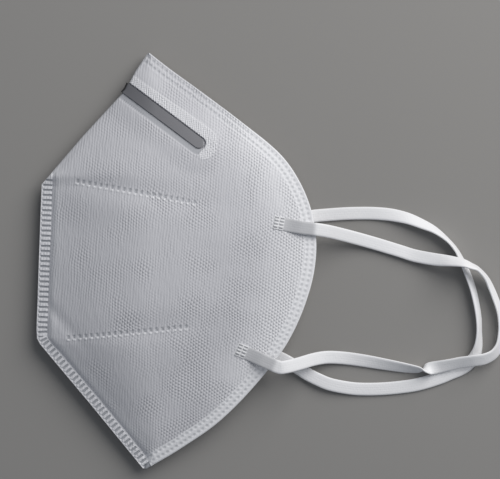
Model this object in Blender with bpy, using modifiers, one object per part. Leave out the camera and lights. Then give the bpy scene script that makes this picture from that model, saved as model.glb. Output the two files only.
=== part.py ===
"""Flat-folded particulate respirator mask, lying on its side.

Metres, +Z up. X runs from the front weld to the open face side and Y from the chin to the nose. The far
panel rests on Z = 0, and the origin is the middle of the mask body's outline, on that surface.
"""
import math
from collections import namedtuple

import bmesh
import bpy
from mathutils import Vector

COLLECTION = "particulate_respirator_mask"

# Mask body, folded flat
HEIGHT = 0.160              # chin tip to nose tip
DEPTH = 0.1075              # front weld to the bow of the face edge
PILLOW = 0.016              # height of the near panel's crown above the surface
WALL = 0.0012               # laminated filter sheet
WELD_WIDTH = 0.0040         # front and chin weld, both panels fused
WELD_THICK = 0.0010
RIM_WIDTH = 0.0042          # welded band along the open face edge
RIM_THICK = 0.0010
FOLD_DEPTH = 0.0013         # round of the nose fold, seen from above
FOLD_SLACK = 0.0004         # air between the two walls at the fold
HOLLOW_SET = 0.0026         # from the weld or fold to where the hollow starts
HOLLOW_GAP = 0.0003         # narrowest gap between the two walls
FALL_REACH = 0.018          # from the weld to where the far panel meets the surface
WELD_MOST = 0.4             # most that the weld, the rim, the hollow's set-back and the far panel's fall take
RIM_MOST = 0.25             # of a short cut near the two tips, as shares of it
HOLLOW_MOST = 0.3
FALL_MOST = 0.4

# Nose clip
CLIP_LENGTH = 0.0375        # fold to round end, on each side
CLIP_WIDTH = 0.0041
CLIP_THICK = 0.0006
CLIP_GAP = 0.00035          # between the strip and the fabric
CLIP_DOWN = math.radians(37.0)  # slope of the strip towards the face side
CLIP_END = 0.98             # share of the end's round that the outer lines reach, so their points stay apart
CLIP_LENGTHS = [1.0, 0.97, 0.9, 0.8, 0.7, 0.6, 0.5, 0.4, 0.3, 0.2, 0.12, 0.06]
CLIP_WIDTHS = [-1.0, -0.8, -0.3, 0.3, 0.8, 1.0]
BEND_STEPS = 6              # round the fold

# Ear loops, flat knitted elastic
LOOP_WIDTH = 0.0050
LOOP_THICK = 0.0010
LOOP_LIFT = 0.00015         # under a loop that lies on the surface
LOOP_STEP = 0.0030          # between the sections of a loop
SIDE_ANGLES = [60.0, 0.0, -60.0]    # corners of the section's round sides
CURVE_STEPS = 12            # fine steps between two rows of a route, before they are evened out

# Resolution of the body
ROW_STEP = 0.0050           # most distance between two level cuts
WELD_START = 0.207          # where the plain fold starts to turn into the weld, in shares of HEIGHT
WELD_FULL = 0.178           # where the weld has its full width
PUFF = 0.16                 # how far the near panel puffs up beside the weld, as a share of its rise
PUFF_REACH = 0.0016         # over what distance
NEAR_CREST = 0.42           # where the near panel is highest, as a share from weld to rim
NEAR_POWER = 1.15           # how hollow its rise to there is
FAR_RISE = 0.64             # where the far panel starts to lift towards the face edge
FAR_LEVEL = 0.86            # where it is up, and runs level to the edge
PANEL_SHARES = [0.0, 0.025, 0.06, 0.11, 0.17, 0.25, 0.34, 0.44, 0.54, 0.64, 0.74, 0.84, 0.93, 1.0]
RIM_SHARES = [0.25, 1.0]
RIM_THINS = 0.25            # the wall has its rim thickness at this share of the band
SLOPE_REACH = 0.02          # an outline's slope is read over this share of HEIGHT both ways
SHARP = math.radians(40.0)  # edges of the body sharper than this are shaded as edges

# Plain colours and finishes of the solids
Finish = namedtuple("Finish", "colour roughness metallic")
FABRIC = Finish((0.86, 0.87, 0.89), 0.85, 0.0)
METAL = Finish((0.17, 0.17, 0.18), 0.35, 1.0)
ELASTIC = Finish((0.85, 0.85, 0.86), 0.8, 0.0)

# The folded side of the outline, straight between its corners: up in shares of HEIGHT, out in shares of DEPTH
SeamPoint = namedtuple("SeamPoint", "up out")
SEAM_LINE = [
    SeamPoint(0.500, -0.104),
    SeamPoint(0.458, -0.146),
    SeamPoint(0.412, -0.182),
    SeamPoint(0.300, -0.335),
    SeamPoint(0.184, -0.482),
    SeamPoint(-0.165, -0.500),
    SeamPoint(-0.186, -0.4985),
    SeamPoint(-0.200, -0.488),
    SeamPoint(-0.345, -0.3075),
    SeamPoint(-0.500, -0.1195),
]

# The open side of the outline, a smooth curve through these
FacePoint = namedtuple("FacePoint", "up out")
FACE_LINE = [
    FacePoint(0.500, -0.095),
    FacePoint(0.462, -0.023),
    FacePoint(0.409, 0.085),
    FacePoint(0.336, 0.229),
    FacePoint(0.259, 0.3675),
    FacePoint(0.191, 0.440),
    FacePoint(0.113, 0.4855),
    FacePoint(0.024, 0.500),
    FacePoint(-0.075, 0.4745),
    FacePoint(-0.190, 0.4025),
    FacePoint(-0.285, 0.2985),
    FacePoint(-0.385, 0.155),
    FacePoint(-0.455, 0.0075),
    FacePoint(-0.500, -0.106),
]

# Heights above the surface, in shares of PILLOW: the weld or fold, the near panel's crown, the near and far
# panels at the face edge, and the far panel's belly
LiftRow = namedtuple("LiftRow", "up seam crown near_rim far_rim belly")
LIFTS = [
    LiftRow(0.500, 0.24, 0.345, 0.345, 0.140, 0.140),
    LiftRow(0.412, 0.29, 0.50, 0.44, 0.145, 0.110),
    LiftRow(0.270, 0.33, 0.76, 0.55, 0.150, 0.090),
    LiftRow(0.190, 0.34, 0.88, 0.62, 0.155, 0.0),
    LiftRow(0.050, 0.36, 1.00, 0.65, 0.155, 0.0),
    LiftRow(-0.150, 0.36, 0.97, 0.64, 0.155, 0.0),
    LiftRow(-0.280, 0.35, 0.82, 0.58, 0.155, 0.0),
    LiftRow(-0.400, 0.33, 0.60, 0.48, 0.160, 0.030),
    LiftRow(-0.500, 0.30, 0.385, 0.37, 0.210, 0.210),
]

# Soft dents in the near panel: middle and reach in shares of DEPTH, turn from X, depth in shares of PILLOW
Dent = namedtuple("Dent", "out up long wide turn deep")
DENTS = [
    Dent(-0.425, -0.195, 0.110, 0.020, -48.0, 0.035),
    Dent(-0.330, 0.120, 0.200, 0.080, -8.0, 0.025),
    Dent(0.050, -0.420, 0.180, 0.090, 35.0, 0.030),
]

# Where the clip's middle line crosses the nose fold, in shares of HEIGHT
CLIP_UP = 0.4145

# Routes of the two ear loops, in metres, from weld to weld. Roll is a loop's turn about its own line
# in degrees, 0 or -180 lying flat and 90 on edge, and lift is how far it is held above the surface.
RoutePoint = namedtuple("RoutePoint", "x y lift roll")
NEAR_ROUTE = [
    RoutePoint(0.0370, 0.0149, 0.01265, 0),
    RoutePoint(0.0400, 0.0143, 0.0124, 0),
    RoutePoint(0.0476, 0.0128, 0.0118, 0),
    RoutePoint(0.0522, 0.0122, 0.0114, 0),
    RoutePoint(0.0542, 0.0120, 0.0112, 0),
    RoutePoint(0.0585, 0.0113, 0.0089, 0),
    RoutePoint(0.0630, 0.0103, 0.0057, 0),
    RoutePoint(0.0690, 0.0088, 0.0026, 0),
    RoutePoint(0.0770, 0.0066, 0.0006, 4),
    RoutePoint(0.0866, 0.0037, 0.0002, 10),
    RoutePoint(0.0924, 0.0019, 0.0007, 8),
    RoutePoint(0.0999, 0.0005, 0.0024, 12),
    RoutePoint(0.1062, -0.0002, 0.0043, 38),
    RoutePoint(0.1105, -0.0009, 0.0055, 54),
    RoutePoint(0.1131, -0.0018, 0.0051, 62),
    RoutePoint(0.1160, -0.0031, 0.0038, 72),
    RoutePoint(0.1194, -0.0065, 0.0016, 67),
    RoutePoint(0.1214, -0.0100, 0.0006, 61),
    RoutePoint(0.1233, -0.0144, 0.0001, 58),
    RoutePoint(0.1249, -0.0191, 0.0, 58),
    RoutePoint(0.1256, -0.0235, 0.0, 58),
    RoutePoint(0.1256, -0.0280, 0.0002, 57),
    RoutePoint(0.1248, -0.0327, 0.0010, 50),
    RoutePoint(0.1226, -0.0360, 0.0022, 38),
    RoutePoint(0.1190, -0.0378, 0.0034, 28),
    RoutePoint(0.1154, -0.0384, 0.0037, 24),
    RoutePoint(0.1124, -0.0389, 0.0031, 24),
    RoutePoint(0.1093, -0.0394, 0.0023, 24),
    RoutePoint(0.1062, -0.0401, 0.0017, 22),
    RoutePoint(0.1035, -0.0407, 0.0014, 16),
    RoutePoint(0.1008, -0.0413, 0.0013, 4),
    RoutePoint(0.0985, -0.0417, 0.0009, -12),
    RoutePoint(0.0968, -0.0420, 0.0003, -46),
    RoutePoint(0.0954, -0.0423, 0.0, -90),
    RoutePoint(0.0939, -0.0422, 0.0, -117),
    RoutePoint(0.0900, -0.0417, 0.0, -134),
    RoutePoint(0.0862, -0.0411, 0.0, -144),
    RoutePoint(0.0803, -0.0401, 0.0, -156),
    RoutePoint(0.0725, -0.0388, 0.0, -170),
    RoutePoint(0.0650, -0.0378, 0.0003, -180),
    RoutePoint(0.0585, -0.0374, 0.0016, -180),
    RoutePoint(0.0530, -0.0380, 0.0045, -180),
    RoutePoint(0.0468, -0.0395, 0.0085, -180),
    RoutePoint(0.0415, -0.0405, 0.0117, -180),
    RoutePoint(0.0386, -0.0402, 0.0121, -180),
    RoutePoint(0.0300, -0.0364, 0.0119, -180),
    RoutePoint(0.0229, -0.0334, 0.0125, -180),
]
FAR_ROUTE = [
    RoutePoint(0.0352, 0.0148, 0.0008, 0),
    RoutePoint(0.0418, 0.0155, 0.0008, 0),
    RoutePoint(0.0526, 0.0172, 0.0004, 0),
    RoutePoint(0.0591, 0.0178, 0.0, 0),
    RoutePoint(0.0668, 0.0183, 0.0, 0),
    RoutePoint(0.0745, 0.0184, 0.0, 0),
    RoutePoint(0.0803, 0.0181, 0.0, 5),
    RoutePoint(0.0847, 0.0175, 0.0, 12),
    RoutePoint(0.0897, 0.0163, 0.0, 26),
    RoutePoint(0.0950, 0.0142, 0.0, 41),
    RoutePoint(0.0998, 0.0119, 0.0, 57),
    RoutePoint(0.1043, 0.0085, 0.0, 71),
    RoutePoint(0.1077, 0.0048, 0.0, 72),
    RoutePoint(0.1100, 0.0008, 0.0, 66),
    RoutePoint(0.1125, -0.0048, 0.0, 58),
    RoutePoint(0.1146, -0.0107, 0.0, 58),
    RoutePoint(0.1160, -0.0165, 0.0, 60),
    RoutePoint(0.1169, -0.0222, 0.0, 61),
    RoutePoint(0.1171, -0.0276, 0.0, 62),
    RoutePoint(0.1168, -0.0328, 0.0, 46),
    RoutePoint(0.1155, -0.0370, 0.0, 22),
    RoutePoint(0.1130, -0.0402, 0.0, 7),
    RoutePoint(0.1099, -0.0422, 0.0, 0),
    RoutePoint(0.1061, -0.0438, 0.0, 0),
    RoutePoint(0.1015, -0.0457, 0.0, 0),
    RoutePoint(0.0938, -0.0480, 0.0, 0),
    RoutePoint(0.0861, -0.0492, 0.0, 0),
    RoutePoint(0.0784, -0.0498, 0.0, 0),
    RoutePoint(0.0707, -0.0498, 0.0002, 0),
    RoutePoint(0.0649, -0.0491, 0.0007, 0),
    RoutePoint(0.0591, -0.0478, 0.0013, 0),
    RoutePoint(0.0545, -0.0459, 0.0015, 0),
    RoutePoint(0.0506, -0.0439, 0.0013, 0),
    RoutePoint(0.0468, -0.0415, 0.0010, 0),
    RoutePoint(0.0406, -0.0380, 0.0008, 0),
    RoutePoint(0.0352, -0.0360, 0.0008, 0),
    RoutePoint(0.0290, -0.0347, 0.0007, 0),
    RoutePoint(0.0229, -0.0334, 0.0004, 0),
]


def smooth_step(share):
    """0 to 1 with level ends."""
    share = min(1.0, max(0.0, share))
    return share * share * (3.0 - 2.0 * share)


def straight(table, column, up):
    """A column of a table at a height, on straight lines between its rows."""
    for above, below in zip(table, table[1:]):
        if up >= below.up:
            share = (above.up - up) / (above.up - below.up)
            return getattr(above, column) * (1.0 - share) + getattr(below, column) * share
    return getattr(table[-1], column)


def curved(table, column, up):
    """A column of a table at a height, on a smooth curve through its rows."""
    last = len(table) - 1
    row = max(0, min(last - 1, sum(1 for line in table[1:] if line.up > up)))

    def slope(place):
        first, second = table[max(0, place - 1)], table[min(last, place + 1)]
        return (getattr(second, column) - getattr(first, column)) / (second.up - first.up)

    above, below = table[row], table[row + 1]
    span = below.up - above.up
    share = (up - above.up) / span
    square, cube = share * share, share ** 3
    return ((2 * cube - 3 * square + 1) * getattr(above, column)
            + (cube - 2 * square + share) * span * slope(row)
            + (3 * square - 2 * cube) * getattr(below, column)
            + (cube - square) * span * slope(row + 1))


def line_slope(reading, table, up):
    """How far a line of the outline runs sideways for each metre upwards."""
    high, low = min(0.5, up + SLOPE_REACH), max(-0.5, up - SLOPE_REACH)
    return (reading(table, "out", high) - reading(table, "out", low)) * DEPTH / ((high - low) * HEIGHT)


class Cut:
    """The sizes of one level cut through the folded body, at a share of its height."""

    def __init__(self, up):
        self.y = up * HEIGHT
        self.tip = straight(SEAM_LINE, "out", up) * DEPTH
        self.edge = curved(FACE_LINE, "out", up) * DEPTH
        length = self.edge - self.tip
        weld = smooth_step((WELD_START - up) / (WELD_START - WELD_FULL))
        welded = WELD_WIDTH * math.hypot(1.0, line_slope(straight, SEAM_LINE, up))
        rim = RIM_WIDTH * math.hypot(1.0, line_slope(curved, FACE_LINE, up))
        self.root = self.tip + min(FOLD_DEPTH + (welded - FOLD_DEPTH) * weld, WELD_MOST * length)
        self.band = self.edge - min(rim, RIM_MOST * length)
        self.hollow = min(self.root + HOLLOW_SET, self.root + HOLLOW_MOST * (self.band - self.root))
        fold_half = WALL + FOLD_SLACK / 2
        self.root_half = fold_half + (WELD_THICK / 2 - fold_half) * weld
        self.tip_half = WELD_THICK / 2
        self.seam = straight(LIFTS, "seam", up) * PILLOW
        self.crown = curved(LIFTS, "crown", up) * PILLOW
        self.near_rim = curved(LIFTS, "near_rim", up) * PILLOW
        self.far_rim = curved(LIFTS, "far_rim", up) * PILLOW
        self.belly = straight(LIFTS, "belly", up) * PILLOW
        self.fall = min(FALL_REACH / (self.edge - self.root), FALL_MOST)

    def share(self, x):
        return min(1.0, max(0.0, (x - self.root) / (self.edge - self.root)))

    def near(self, x):
        """Height of the near panel's outer face."""
        share = self.share(x)
        start = self.seam + self.root_half
        if share < NEAR_CREST:
            rise = share / NEAR_CREST
            puff = PUFF * (1.0 - math.exp(-(x - self.root) / PUFF_REACH)) * (1.0 - rise)
            height = start + (self.crown - start) * (puff + math.sin(math.pi / 2 * rise) ** NEAR_POWER)
        else:
            fall = (share - NEAR_CREST) / (1.0 - NEAR_CREST)
            height = self.near_rim + (self.crown - self.near_rim) * math.cos(math.pi / 2 * fall)
        return height - dent_depth(x, self.y)

    def far(self, x):
        """Height of the far panel's outer face, its underside."""
        share = self.share(x)
        start = self.seam - self.root_half
        fall = (start - self.belly) * (1.0 - smooth_step(share / self.fall))
        rise = (self.far_rim - self.belly) * smooth_step((share - FAR_RISE) / (FAR_LEVEL - FAR_RISE))
        return self.belly + fall + rise

    def wall(self, x):
        """Thickness of one wall, thinner along the rim and where the panels close together."""
        banded = smooth_step((x - self.band) / (self.edge - self.band) / RIM_THINS)
        full = WALL + (RIM_THICK - WALL) * banded
        return min(full, (self.near(x) - self.far(x) - HOLLOW_GAP) / 2)

    def ring(self):
        """The closed section: far panel outwards, its inner face back, and the near panel the same way."""
        outer = stations(self.root, self.band, self.edge)
        inner = stations(self.hollow, self.band, self.edge)
        points = [(x, self.far(x)) for x in outer]
        points += [(x, self.far(x) + self.wall(x)) for x in reversed(inner)]
        points += [(x, self.near(x) - self.wall(x)) for x in inner]
        points += [(x, self.near(x)) for x in reversed(outer)]
        points += [(self.tip, self.seam + self.tip_half), (self.tip, self.seam - self.tip_half)]
        return [Vector((x, self.y, z)) for x, z in points]


def stations(start, band, edge):
    """Places across a panel: its main stretch and then the welded rim."""
    return ([start + (band - start) * share for share in PANEL_SHARES]
            + [band + (edge - band) * share for share in RIM_SHARES])


def dent_depth(x, y):
    """How far the soft dents lower the near panel."""
    total = 0.0
    for dent in DENTS:
        turn = math.radians(dent.turn)
        aside, along = x - dent.out * DEPTH, y - dent.up * DEPTH
        length = (aside * math.cos(turn) + along * math.sin(turn)) / (dent.long * DEPTH)
        width = (along * math.cos(turn) - aside * math.sin(turn)) / (dent.wide * DEPTH)
        total += dent.deep * PILLOW * math.exp(-(length * length + width * width))
    return total


def cut_heights():
    """Shares of the height to cut at: each corner of the folded side, and even steps between them."""
    heights = [SEAM_LINE[0].up]
    for above, below in zip(SEAM_LINE, SEAM_LINE[1:]):
        steps = max(1, math.ceil((above.up - below.up) * HEIGHT / ROW_STEP))
        heights += [above.up + (below.up - above.up) * step / steps for step in range(1, steps + 1)]
    return heights


def new_object(name, data, finish):
    """An object of the mask with its own plain material."""
    item = bpy.data.objects.new(name, data)
    bpy.data.collections[COLLECTION].objects.link(item)
    material = bpy.data.materials.new(name)
    material.use_nodes = True
    shader = material.node_tree.nodes["Principled BSDF"]
    shader.inputs["Base Color"].default_value = (*finish.colour, 1.0)
    shader.inputs["Roughness"].default_value = finish.roughness
    shader.inputs["Metallic"].default_value = finish.metallic
    data.materials.append(material)
    return item


def make_body():
    """Loft the body through its level cuts, from the nose tip to the chin tip."""
    rings = [Cut(up).ring() for up in cut_heights()]
    mesh = bmesh.new()
    loops = [[mesh.verts.new(point) for point in ring] for ring in rings]
    for upper, lower in zip(loops, loops[1:]):
        for place in range(len(upper)):
            after = (place + 1) % len(upper)
            mesh.faces.new((upper[place], upper[after], lower[after], lower[place]))
    mesh.faces.new(reversed(loops[0]))
    mesh.faces.new(loops[-1])
    bmesh.ops.recalc_face_normals(mesh, faces=mesh.faces)
    data = bpy.data.meshes.new("mask_body")
    mesh.to_mesh(data)
    mesh.free()
    data.shade_smooth()
    data.set_sharp_from_angle(angle=SHARP)
    return new_object("mask_body", data, FABRIC)


def clip_line(aside):
    """Mid points of the clip along one line of its width, round end to round end, over the fold."""
    along = Vector((math.cos(CLIP_DOWN), -math.sin(CLIP_DOWN)))
    across = Vector((math.sin(CLIP_DOWN), math.cos(CLIP_DOWN)))
    fold = Vector((straight(SEAM_LINE, "out", CLIP_UP) * DEPTH, CLIP_UP * HEIGHT)) + across * aside
    fold += along * (straight(SEAM_LINE, "out", fold.y / HEIGHT) * DEPTH - fold.x) / along.x
    half = CLIP_WIDTH / 2
    reach = CLIP_LENGTH - half + math.sqrt(max(0.0, half * half - aside * aside)) * CLIP_END
    offset = CLIP_GAP + CLIP_THICK / 2
    places = [fold + along * reach * share for share in CLIP_LENGTHS]
    near = [(place, Cut(place.y / HEIGHT).near(place.x) + offset) for place in places]
    far = [(place, Cut(place.y / HEIGHT).far(place.x) - offset) for place in places]
    cut = Cut(fold.y / HEIGHT)
    bend_half = cut.root_half + offset
    bend = []
    for step in range(1, BEND_STEPS):
        angle = math.pi * step / BEND_STEPS
        place = fold + along * (FOLD_DEPTH - (FOLD_DEPTH + offset) * math.sin(angle))
        bend.append((place, cut.seam + bend_half * math.cos(angle)))
    return [Vector((place.x, place.y, z)) for place, z in near + bend + list(reversed(far))]


def make_clip():
    """The metal strip: a sheet over the fold, thickened both ways."""
    lines = [clip_line(share * CLIP_WIDTH / 2) for share in CLIP_WIDTHS]
    mesh = bmesh.new()
    grid = [[mesh.verts.new(point) for point in line] for line in lines]
    for left, right in zip(grid, grid[1:]):
        for place in range(len(left) - 1):
            mesh.faces.new((left[place], right[place], right[place + 1], left[place + 1]))
    data = bpy.data.meshes.new("nose_clip")
    mesh.to_mesh(data)
    mesh.free()
    data.shade_smooth()
    clip = new_object("nose_clip", data, METAL)
    solid = clip.modifiers.new("thickness", "SOLIDIFY")
    solid.thickness = CLIP_THICK
    solid.offset = 0.0
    solid.use_even_offset = True
    return clip


def loop_points(route):
    """Even steps along a smooth curve through a loop's route, each with its roll."""
    marks = []
    for point in route:
        roll = math.radians(point.roll)
        lying = LOOP_LIFT + LOOP_WIDTH / 2 * abs(math.sin(roll)) + LOOP_THICK / 2 * abs(math.cos(roll))
        marks.append(Vector((point.x, point.y, point.lift + lying, roll)))
    marks = [marks[0] * 2 - marks[1]] + marks + [marks[-1] * 2 - marks[-2]]
    fine = []
    for before, start, end, after in zip(marks, marks[1:], marks[2:], marks[3:]):
        for step in range(CURVE_STEPS):
            t = step / CURVE_STEPS
            fine.append((start * 2 + (end - before) * t + (before * 2 - start * 5 + end * 4 - after) * t ** 2
                         + (start * 3 - before - end * 3 + after) * t ** 3) / 2)
    fine.append(marks[-2])
    travelled = [0.0]
    for one, two in zip(fine, fine[1:]):
        travelled.append(travelled[-1] + (two.to_3d() - one.to_3d()).length)
    count = math.ceil(travelled[-1] / LOOP_STEP)
    points, place = [], 0
    for step in range(count + 1):
        goal = travelled[-1] * step / count
        while place < len(fine) - 2 and travelled[place + 1] < goal:
            place += 1
        share = (goal - travelled[place]) / (travelled[place + 1] - travelled[place])
        points.append(fine[place].lerp(fine[place + 1], share))
    return points


def make_profile():
    """The ear loops' section, a flat outline with round sides, kept as a guide."""
    data = bpy.data.curves.new("loop_section", "CURVE")
    data.dimensions = "2D"
    spline = data.splines.new("POLY")
    flat = LOOP_WIDTH / 2 - LOOP_THICK / 2
    corners = []
    for side in (1, -1):
        for angle in SIDE_ANGLES:
            turn = math.radians(angle)
            aside = flat + LOOP_THICK / 2 * math.cos(turn)
            corners.append((side * aside, side * LOOP_THICK / 2 * math.sin(turn)))
    spline.points.add(len(corners) - 1)
    for point, (x, y) in zip(spline.points, corners):
        point.co = (x, y, 0.0, 1.0)
    spline.use_cyclic_u = True
    section = bpy.data.objects.new("loop_section", data)
    bpy.data.collections["guides"].objects.link(section)
    section.hide_render = True
    section.display_type = "WIRE"
    return section


def make_loop(name, route, section):
    """One flat ear loop along its route."""
    data = bpy.data.curves.new(name, "CURVE")
    data.dimensions = "3D"
    data.twist_mode = "Z_UP"
    data.bevel_mode = "OBJECT"
    data.bevel_object = section
    data.use_fill_caps = True
    points = loop_points(route)
    spline = data.splines.new("POLY")
    spline.points.add(len(points) - 1)
    for point, mark in zip(spline.points, points):
        point.co = (mark.x, mark.y, mark.z, 1.0)
        point.tilt = mark.w
    return new_object(name, data, ELASTIC)


def main():
    for item in list(bpy.data.objects):
        bpy.data.objects.remove(item, do_unlink=True)
    for name in (COLLECTION, "guides"):
        group = bpy.data.collections.new(name)
        bpy.context.scene.collection.children.link(group)
    make_body()
    make_clip()
    section = make_profile()
    make_loop("ear_loop_near", NEAR_ROUTE, section)
    make_loop("ear_loop_far", FAR_ROUTE, section)


main()
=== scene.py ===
"""Looks of the flat-folded particulate respirator mask, lying on a pale surface and seen from above.

Metres, +Z up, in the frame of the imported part: X runs to the open face side, Y to the nose.
"""
import math
from collections import namedtuple
from functools import lru_cache

import bmesh
import bpy
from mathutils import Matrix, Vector, noise


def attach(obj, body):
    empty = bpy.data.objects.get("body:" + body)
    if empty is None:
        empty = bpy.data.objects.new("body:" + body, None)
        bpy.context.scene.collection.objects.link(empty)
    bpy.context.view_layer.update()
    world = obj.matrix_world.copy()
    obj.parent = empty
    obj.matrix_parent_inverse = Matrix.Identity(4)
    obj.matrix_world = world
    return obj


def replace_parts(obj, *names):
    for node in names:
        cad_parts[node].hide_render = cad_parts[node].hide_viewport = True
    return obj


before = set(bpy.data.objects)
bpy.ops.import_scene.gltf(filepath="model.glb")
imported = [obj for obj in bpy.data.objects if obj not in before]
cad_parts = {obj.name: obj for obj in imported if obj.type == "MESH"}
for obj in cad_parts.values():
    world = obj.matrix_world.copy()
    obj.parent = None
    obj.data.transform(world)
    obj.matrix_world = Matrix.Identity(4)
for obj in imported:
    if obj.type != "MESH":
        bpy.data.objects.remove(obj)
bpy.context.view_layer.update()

# The photograph's frame, from straight above
VIEW_CENTRE = Vector((0.0284, 0.0082, 0.006))
VIEW_WIDTH = 0.1925
VIEW_HEIGHT = 0.65
SENSOR = 36.0               # mm

# The folded body, as in the part
HEIGHT = 0.160
DEPTH = 0.1075
PILLOW = 0.016
WALL = 0.0012
WELD_WIDTH = 0.0040
WELD_THICK = 0.0010
RIM_WIDTH = 0.0042
RIM_THICK = 0.0010
FOLD_DEPTH = 0.0013
FOLD_SLACK = 0.0004
HOLLOW_SET = 0.0026
HOLLOW_GAP = 0.0003
WELD_MOST = 0.4             # of a cut's length, where the outline is narrow
RIM_MOST = 0.25
ROOT_MOST = 0.3
RIM_BLEND = 0.25            # of the rim's width, over which the wall reaches the rim's thickness
SLOPE_REACH = 0.02          # of the height, each way, over which the outline's slope is read
FALL_REACH = 0.018
FALL_MOST = 0.4
WELD_START = 0.207
WELD_FULL = 0.178
PUFF = 0.16
PUFF_REACH = 0.0016
NEAR_CREST = 0.42
CREST_POWER = 1.15
FAR_RISE = 0.64
FAR_LEVEL = 0.86

# Nose clip
CLIP_LENGTH = 0.0375
CLIP_WIDTH = 0.0041
CLIP_THICK = 0.0006
CLIP_GAP = 0.00035
CLIP_DOWN = math.radians(37.0)
CLIP_UP = 0.4145
CLIP_ROUND = 0.00012
CLIP_SHARES = (-1.0, -0.97, -0.88, -0.7, -0.35, 0.0, 0.35, 0.7, 0.88, 0.97, 1.0)
CLIP_STEPS = 40
CLIP_CROWD = 1.2            # steps crowd together towards the round end
BEND_STEPS = 12
BEND_PAINTED_SHADE = 0.55            # share of the bend's height from which the metal is painted dark, as shade and dark reflection

# Ear loops, with ends that are pressed thin onto a panel and printed with short bars, and painted shade on the
# stretch next to each end and between the bars
LOOP_WIDTH = 0.0050
LOOP_THICK = 0.0010
LOOP_LIFT = 0.00015         # clear of the surface that it lies on
LOOP_STEP = 0.0002
LOOP_SKIP = 3               # between the ends, one step in this many is kept
CURVE_STEPS = 12            # between two points of a route
SIDE_POINTS = 25            # across one face of the strap
PRESSED = 0.0046
SEAT_LENGTH = 0.0115        # over which an end comes down onto its panel
SUNK = 0.00008
THINNED = 0.7
BAR_PITCH = 0.00125
BAR_COLUMNS = ((0.0006, 0.0022), (0.0027, 0.0043))
BAR_SOFT = 0.0004
BAR_HIGH = 0.3              # share of the thickness that a bar keeps more than the rest
# painted shade in the gaps between the printed bars
BAR_GAP_SHADE = 0.85
TIP_LENGTH = 0.0009         # over which the very end comes up to its thickness
TIP_THIN = 0.2
GREY_LENGTH = 0.0172        # thinned, and darkened with painted shade, up to here
GREY_FADE = 0.002
# how dark the painted shade on that stretch is
PAINTED_SHADE_SHARE = 0.54
STITCH_WIDE = 0.0009        # coarser than the real stitches, so that they show

# The flattened underside lies this far above the floor, so that the two never share a plane
FLOOR_GAP = 0.00003

# Grain of the body's mesh
ROW_STEP = 0.0011
NEAR_STEPS = 76
FAR_STEPS = 40
FACE_STEPS = 400
FACE_WINDOW = 40            # steps up and down the face line that are searched for the nearest point
FINE_EDGES = (0.0007, 0.00035, 0.00022)
FINE_WELD = 0.0060          # how far from each pressed form the mesh is made finer
FINE_CLIP = (-0.0008, 0.0055)
FINE_RIM = 0.0058
FINE_DASH = 0.0022
SHARP_WELD = 0.0044
SHARP_CLIP = (-0.0004, 0.0009)

# Front and chin weld: slots between ribs, a plain edge outside them and a groove inside
RIB_PITCH = 0.00196
SLOT_DEPTH = 0.00036
RIB_HIGH = 0.00015
WELD_EDGE = 0.0005
WELD_NARROWS = 0.0008       # below the front's lower corner
WELD_TURN = 0.006
WELD_REACH = 0.0100         # nothing is pressed further in than this
GROOVE_IN = 0.0007
GROOVE_WIDE = 0.0008
GROOVE_DEPTH = 0.0002

# Rim: two rows of pits and a bead at the edge
PIT_PITCH = 0.00206
PIT_ROWS = (0.0017, 0.0037)
PIT_LONG = 0.00060
PIT_WIDE = 0.00050
PIT_DEPTH = 0.0002
RIM_REACH = 0.0065
RIM_MARGIN = 0.0010
BEAD_HIGH = 0.0001

# Dashes that stiffen a panel, each with a raised tooth below it; the pits get painted shade and the teeth a
# painted highlight
DASH_PITCH = 0.00228
DASH_LONG = 0.00050
DASH_WIDE = 0.00075
DASH_UP = 0.0003
DASH_DEPTH = 0.00026
TOOTH_WIDE = 0.00045
TOOTH_DOWN = 0.0008
TOOTH_HIGH = 0.00018

# Lip of cloth above and beyond the nose clip, with a pressed lattice, and a flatter band below it with ticks,
# painted grey as the clip's shadow
LIP_GAP = 0.00048
LIP_HIGH = 0.00075
LIP_WIDE = 0.0037
LIP_FADE = 0.007
MOAT_DEPTH = 0.0006
LATTICE_ALONG = 0.0011
LATTICE_ACROSS = 0.0012
LATTICE_HIGH = 0.00026
BAND_WIDE = 0.0024
BAND_HIGH = 0.00045
BAND_STEP = 0.0002
BAND_FADE = 0.009
TICK_PITCH = 0.0009
TICK_HALF = 0.00016
TICK_DEPTH = 0.0002
UNDER_HIGH = 0.00025
CLIP_REACH = 0.012

# How grey each pressed form is, from fusing and from painted shade in its hollow, or painted shadow below the
# clip, or how white, from doubled cloth and painted highlight, as a share
SLOT_FUSED_SHADE = 0.9
PIT_FUSED_SHADE = 0.3
DASH_FUSED_SHADE = 0.55
TICK_FUSED_SHADE = 0.8
BAND_CLIP_SHADOW = 0.6
WELD_WHITE = 0.38
FRONT_HIGHLIGHT = 0.35
FRONT_REACH = 0.0080
TOOTH_HIGHLIGHT = 0.7
LIT_SIDE_HIGHLIGHT = 0.8
NOSE_RIM_LESS_WHITE = 0.85

# Soft waves of the near panel, which die out towards the fold and the rim
WAVE_HIGH = 0.00024
WAVE_SCALE = 42.0
RIPPLE_HIGH = 0.00013
RIPPLE_SCALE = 95.0
CALM_FOLD = 0.012
CALM_RIM = 0.015
# over which the near panel is whitened towards the face edge, a painted highlight on its lit side
LIT_SIDE_REACH = 0.030

# Fabric: bond points in columns that lean a little, spaced as in the photograph
COLUMN_PITCH = 0.00106
POINT_PITCH = 0.0013
FABRIC_TURN = math.radians(5)
FIBRE_GRAIN = (1100, 260, 260)      # cells a metre, coarser than real fibres so that they show

# Other fine grains, in cells a metre and also coarser than the real ones
STITCH_GRAIN = (2600, 900, 1)
ROLLED_GRAIN = (150, 3000, 1000)
FLOOR_GRAIN = 900.0

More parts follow.
